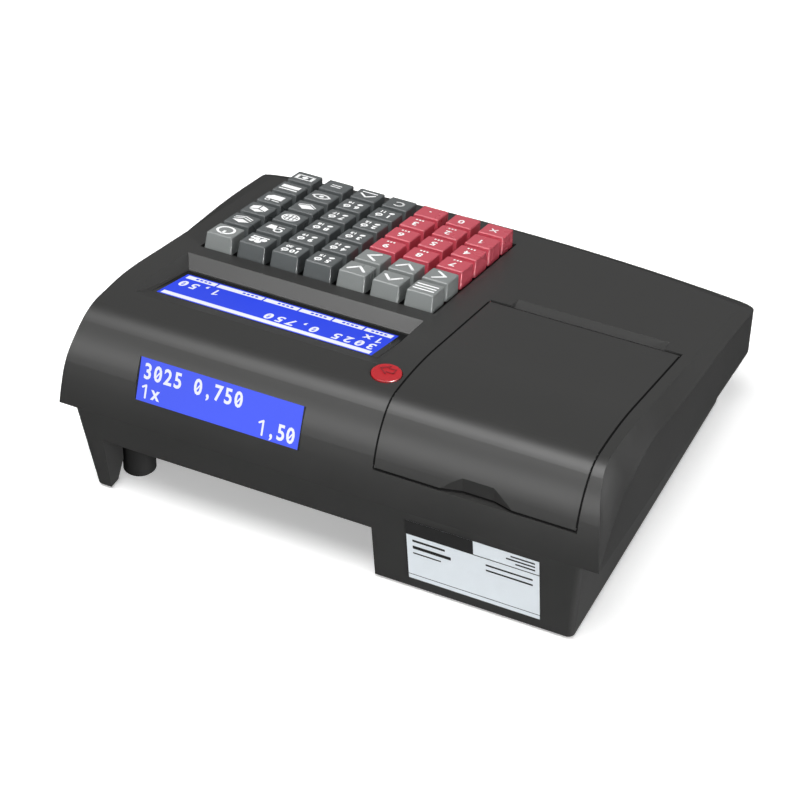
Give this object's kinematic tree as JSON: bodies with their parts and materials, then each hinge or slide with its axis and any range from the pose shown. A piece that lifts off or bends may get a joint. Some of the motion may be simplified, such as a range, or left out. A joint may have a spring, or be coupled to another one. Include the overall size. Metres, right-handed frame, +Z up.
{
  "type": "ticket register",
  "caption": "Compact counter ticket register with an inclined keyboard, sunk operator's display, rear customer's display and a hinged lid over its receipt printer.",
  "frame": {"origin": "on the table under the middle of the machine's outline", "axes": "+X to the operator's right, +Y towards the customer, +Z up"},
  "size_m": [0.245, 0.202, 0.0878],
  "materials": {
    "case_top": "fine spark-eroded charcoal moulding, satin",
    "case_base": "fine spark-eroded charcoal moulding, satin",
    "key_dark": "dark grey moulding with printed white legends",
    "key_light": "light grey moulding with printed white legends",
    "key_red": "red moulding with printed white legends",
    "button_red": "smooth red moulding",
    "screen_operator": "lit blue screen behind a clear window",
    "screen_customer": "lit blue screen behind a clear window",
    "well_dark": "black moulding",
    "module": "black display module",
    "board_green": "green circuit board",
    "mechanism_black": "black moulding",
    "heat_sink": "bare aluminium",
    "steel": "plain steel",
    "gear_white": "natural acetal",
    "rubber": "black rubber"
  },
  "bodies": {
    "case": {"upper_case": "case_top", "lower_case": "case_base", "operator_lens": "screen_operator", "operator_display": "module", "customer_lens": "screen_customer", "customer_display": "module", "keyboard_plate": "well_dark", "keyboard_board": "board_green", "main_board": "board_green", "printer_frame": "mechanism_black", "print_head": "heat_sink", "stepper_motor": "steel", "rubber_feet": "rubber", "case_screws": "steel"},
    "lid": {"printer_cover": "case_top"},
    "release_button": {"release_button": "button_red"},
    "platen": {"platen_roller": "rubber"},
    "motor_gear": {"motor_gear": "gear_white"},
    "key_power": {"key_power": "key_light"},
    "key_stock": {"key_stock": "key_dark"},
    "key_box": {"key_box": "key_dark"},
    "key_discount": {"key_discount": "key_dark"},
    "key_card": {"key_card": "key_dark"},
    "key_cash": {"key_cash": "key_dark"},
    "key_goods": {"key_goods": "key_dark"},
    "key_link": {"key_link": "key_dark"},
    "key_globe": {"key_globe": "key_dark"},
    "key_receipt": {"key_receipt": "key_dark"},
    "key_coin": {"key_coin": "key_dark"},
    "key_total": {"key_total": "key_dark"},
    "key_dept_10": {"key_dept_10": "key_dark"},
    "key_dept_9": {"key_dept_9": "key_dark"},
    "key_dept_8": {"key_dept_8": "key_dark"},
    "key_dept_7": {"key_dept_7": "key_dark"},
    "key_dept_6": {"key_dept_6": "key_dark"},
    "key_list": {"key_list": "key_dark"},
    "key_dept_5": {"key_dept_5": "key_dark"},
    "key_dept_4": {"key_dept_4": "key_dark"},
    "key_dept_3": {"key_dept_3": "key_dark"},
    "key_dept_2": {"key_dept_2": "key_dark"},
    "key_dept_1": {"key_dept_1": "key_dark"},
    "key_clear": {"key_clear": "key_dark"},
    "key_page": {"key_page": "key_light"},
    "key_right": {"key_right": "key_light"},
    "key_9": {"key_9": "key_red"},
    "key_6": {"key_6": "key_red"},
    "key_3": {"key_3": "key_red"},
    "key_point": {"key_point": "key_red"},
    "key_up": {"key_up": "key_light"},
    "key_down": {"key_down": "key_light"},
    "key_8": {"key_8": "key_red"},
    "key_5": {"key_5": "key_red"},
    "key_2": {"key_2": "key_red"},
    "key_0": {"key_0": "key_red"},
    "key_menu": {"key_menu": "key_light"},
    "key_left": {"key_left": "key_light"},
    "key_7": {"key_7": "key_red"},
    "key_4": {"key_4": "key_red"},
    "key_1": {"key_1": "key_red"},
    "key_times": {"key_times": "key_red"}
  },
  "joints": [
    {"name": "lid_hinge", "type": "hinge", "parent": "case", "child": "lid", "pos_m": [-0.0673, -0.01572, 0.06793], "axis": [1, 0, 0], "range_deg": [0, 95]},
    {"name": "release_press", "type": "slide", "parent": "case", "child": "release_button", "axis": [0, 0.0522, -0.9986], "range_m": [0, 0.0015], "stiffness_N_per_m": 400, "springref_m": -0.001},
    {"name": "platen_spin", "type": "hinge", "parent": "case", "child": "platen", "pos_m": [-0.06925, -0.0115, 0.0535], "axis": [1, 0, 0], "continuous": true},
    {"name": "pinion_spin", "type": "hinge", "parent": "case", "child": "motor_gear", "pos_m": [-0.1062, -0.0115, 0.03835], "axis": [1, 0, 0], "continuous": true},
    {"name": "key_power_press", "type": "slide", "parent": "case", "child": "key_power", "axis": [0, 0.2156, -0.9765], "range_m": [0, 0.003], "stiffness_N_per_m": 200, "springref_m": -0.001},
    {"name": "key_stock_press", "type": "slide", "parent": "case", "child": "key_stock", "axis": [0, 0.2156, -0.9765], "range_m": [0, 0.003], "stiffness_N_per_m": 200, "springref_m": -0.001},
    {"name": "key_box_press", "type": "slide", "parent": "case", "child": "key_box", "axis": [0, 0.2156, -0.9765], "range_m": [0, 0.003], "stiffness_N_per_m": 200, "springref_m": -0.001},
    {"name": "key_discount_press", "type": "slide", "parent": "case", "child": "key_discount", "axis": [0, 0.2156, -0.9765], "range_m": [0, 0.003], "stiffness_N_per_m": 200, "springref_m": -0.001},
    {"name": "key_card_press", "type": "slide", "parent": "case", "child": "key_card", "axis": [0, 0.2156, -0.9765], "range_m": [0, 0.003], "stiffness_N_per_m": 200, "springref_m": -0.001},
    {"name": "key_cash_press", "type": "slide", "parent": "case", "child": "key_cash", "axis": [0, 0.2156, -0.9765], "range_m": [0, 0.003], "stiffness_N_per_m": 200, "springref_m": -0.001},
    {"name": "key_goods_press", "type": "slide", "parent": "case", "child": "key_goods", "axis": [0, 0.2156, -0.9765], "range_m": [0, 0.003], "stiffness_N_per_m": 200, "springref_m": -0.001},
    {"name": "key_link_press", "type": "slide", "parent": "case", "child": "key_link", "axis": [0, 0.2156, -0.9765], "range_m": [0, 0.003], "stiffness_N_per_m": 200, "springref_m": -0.001},
    {"name": "key_globe_press", "type": "slide", "parent": "case", "child": "key_globe", "axis": [0, 0.2156, -0.9765], "range_m": [0, 0.003], "stiffness_N_per_m": 200, "springref_m": -0.001},
    {"name": "key_receipt_press", "type": "slide", "parent": "case", "child": "key_receipt", "axis": [0, 0.2156, -0.9765], "range_m": [0, 0.003], "stiffness_N_per_m": 200, "springref_m": -0.001},
    {"name": "key_coin_press", "type": "slide", "parent": "case", "child": "key_coin", "axis": [0, 0.2156, -0.9765], "range_m": [0, 0.003], "stiffness_N_per_m": 200, "springref_m": -0.001},
    {"name": "key_total_press", "type": "slide", "parent": "case", "child": "key_total", "axis": [0, 0.2156, -0.9765], "range_m": [0, 0.003], "stiffness_N_per_m": 200, "springref_m": -0.001},
    {"name": "key_dept_10_press", "type": "slide", "parent": "case", "child": "key_dept_10", "axis": [0, 0.2156, -0.9765], "range_m": [0, 0.003], "stiffness_N_per_m": 200, "springref_m": -0.001},
    {"name": "key_dept_9_press", "type": "slide", "parent": "case", "child": "key_dept_9", "axis": [0, 0.2156, -0.9765], "range_m": [0, 0.003], "stiffness_N_per_m": 200, "springref_m": -0.001},
    {"name": "key_dept_8_press", "type": "slide", "parent": "case", "child": "key_dept_8", "axis": [0, 0.2156, -0.9765], "range_m": [0, 0.003], "stiffness_N_per_m": 200, "springref_m": -0.001},
    {"name": "key_dept_7_press", "type": "slide", "parent": "case", "child": "key_dept_7", "axis": [0, 0.2156, -0.9765], "range_m": [0, 0.003], "stiffness_N_per_m": 200, "springref_m": -0.001},
    {"name": "key_dept_6_press", "type": "slide", "parent": "case", "child": "key_dept_6", "axis": [0, 0.2156, -0.9765], "range_m": [0, 0.003], "stiffness_N_per_m": 200, "springref_m": -0.001},
    {"name": "key_list_press", "type": "slide", "parent": "case", "child": "key_list", "axis": [0, 0.2156, -0.9765], "range_m": [0, 0.003], "stiffness_N_per_m": 200, "springref_m": -0.001},
    {"name": "key_dept_5_press", "type": "slide", "parent": "case", "child": "key_dept_5", "axis": [0, 0.2156, -0.9765], "range_m": [0, 0.003], "stiffness_N_per_m": 200, "springref_m": -0.001},
    {"name": "key_dept_4_press", "type": "slide", "parent": "case", "child": "key_dept_4", "axis": [0, 0.2156, -0.9765], "range_m": [0, 0.003], "stiffness_N_per_m": 200, "springref_m": -0.001},
    {"name": "key_dept_3_press", "type": "slide", "parent": "case", "child": "key_dept_3", "axis": [0, 0.2156, -0.9765], "range_m": [0, 0.003], "stiffness_N_per_m": 200, "springref_m": -0.001},
    {"name": "key_dept_2_press", "type": "slide", "parent": "case", "child": "key_dept_2", "axis": [0, 0.2156, -0.9765], "range_m": [0, 0.003], "stiffness_N_per_m": 200, "springref_m": -0.001},
    {"name": "key_dept_1_press", "type": "slide", "parent": "case", "child": "key_dept_1", "axis": [0, 0.2156, -0.9765], "range_m": [0, 0.003], "stiffness_N_per_m": 200, "springref_m": -0.001},
    {"name": "key_clear_press", "type": "slide", "parent": "case", "child": "key_clear", "axis": [0, 0.2156, -0.9765], "range_m": [0, 0.003], "stiffness_N_per_m": 200, "springref_m": -0.001},
    {"name": "key_page_press", "type": "slide", "parent": "case", "child": "key_page", "axis": [0, 0.2156, -0.9765], "range_m": [0, 0.003], "stiffness_N_per_m": 200, "springref_m": -0.001},
    {"name": "key_right_press", "type": "slide", "parent": "case", "child": "key_right", "axis": [0, 0.2156, -0.9765], "range_m": [0, 0.003], "stiffness_N_per_m": 200, "springref_m": -0.001},
    {"name": "key_9_press", "type": "slide", "parent": "case", "child": "key_9", "axis": [0, 0.2156, -0.9765], "range_m": [0, 0.003], "stiffness_N_per_m": 200, "springref_m": -0.001},
    {"name": "key_6_press", "type": "slide", "parent": "case", "child": "key_6", "axis": [0, 0.2156, -0.9765], "range_m": [0, 0.003], "stiffness_N_per_m": 200, "springref_m": -0.001},
    {"name": "key_3_press", "type": "slide", "parent": "case", "child": "key_3", "axis": [0, 0.2156, -0.9765], "range_m": [0, 0.003], "stiffness_N_per_m": 200, "springref_m": -0.001},
    {"name": "key_point_press", "type": "slide", "parent": "case", "child": "key_point", "axis": [0, 0.2156, -0.9765], "range_m": [0, 0.003], "stiffness_N_per_m": 200, "springref_m": -0.001},
    {"name": "key_up_press", "type": "slide", "parent": "case", "child": "key_up", "axis": [0, 0.2156, -0.9765], "range_m": [0, 0.003], "stiffness_N_per_m": 200, "springref_m": -0.001},
    {"name": "key_down_press", "type": "slide", "parent": "case", "child": "key_down", "axis": [0, 0.2156, -0.9765], "range_m": [0, 0.003], "stiffness_N_per_m": 200, "springref_m": -0.001},
    {"name": "key_8_press", "type": "slide", "parent": "case", "child": "key_8", "axis": [0, 0.2156, -0.9765], "range_m": [0, 0.003], "stiffness_N_per_m": 200, "springref_m": -0.001},
    {"name": "key_5_press", "type": "slide", "parent": "case", "child": "key_5", "axis": [0, 0.2156, -0.9765], "range_m": [0, 0.003], "stiffness_N_per_m": 200, "springref_m": -0.001},
    {"name": "key_2_press", "type": "slide", "parent": "case", "child": "key_2", "axis": [0, 0.2156, -0.9765], "range_m": [0, 0.003], "stiffness_N_per_m": 200, "springref_m": -0.001},
    {"name": "key_0_press", "type": "slide", "parent": "case", "child": "key_0", "axis": [0, 0.2156, -0.9765], "range_m": [0, 0.003], "stiffness_N_per_m": 200, "springref_m": -0.001},
    {"name": "key_menu_press", "type": "slide", "parent": "case", "child": "key_menu", "axis": [0, 0.2156, -0.9765], "range_m": [0, 0.003], "stiffness_N_per_m": 200, "springref_m": -0.001},
    {"name": "key_left_press", "type": "slide", "parent": "case", "child": "key_left", "axis": [0, 0.2156, -0.9765], "range_m": [0, 0.003], "stiffness_N_per_m": 200, "springref_m": -0.001},
    {"name": "key_7_press", "type": "slide", "parent": "case", "child": "key_7", "axis": [0, 0.2156, -0.9765], "range_m": [0, 0.003], "stiffness_N_per_m": 200, "springref_m": -0.001},
    {"name": "key_4_press", "type": "slide", "parent": "case", "child": "key_4", "axis": [0, 0.2156, -0.9765], "range_m": [0, 0.003], "stiffness_N_per_m": 200, "springref_m": -0.001},
    {"name": "key_1_press", "type": "slide", "parent": "case", "child": "key_1", "axis": [0, 0.2156, -0.9765], "range_m": [0, 0.003], "stiffness_N_per_m": 200, "springref_m": -0.001},
    {"name": "key_times_press", "type": "slide", "parent": "case", "child": "key_times", "axis": [0, 0.2156, -0.9765], "range_m": [0, 0.003], "stiffness_N_per_m": 200, "springref_m": -0.001}
  ],
  "couplings": [
    {"joint": "pinion_spin", "follows": "platen_spin", "ratio": -1.5}
  ]
}
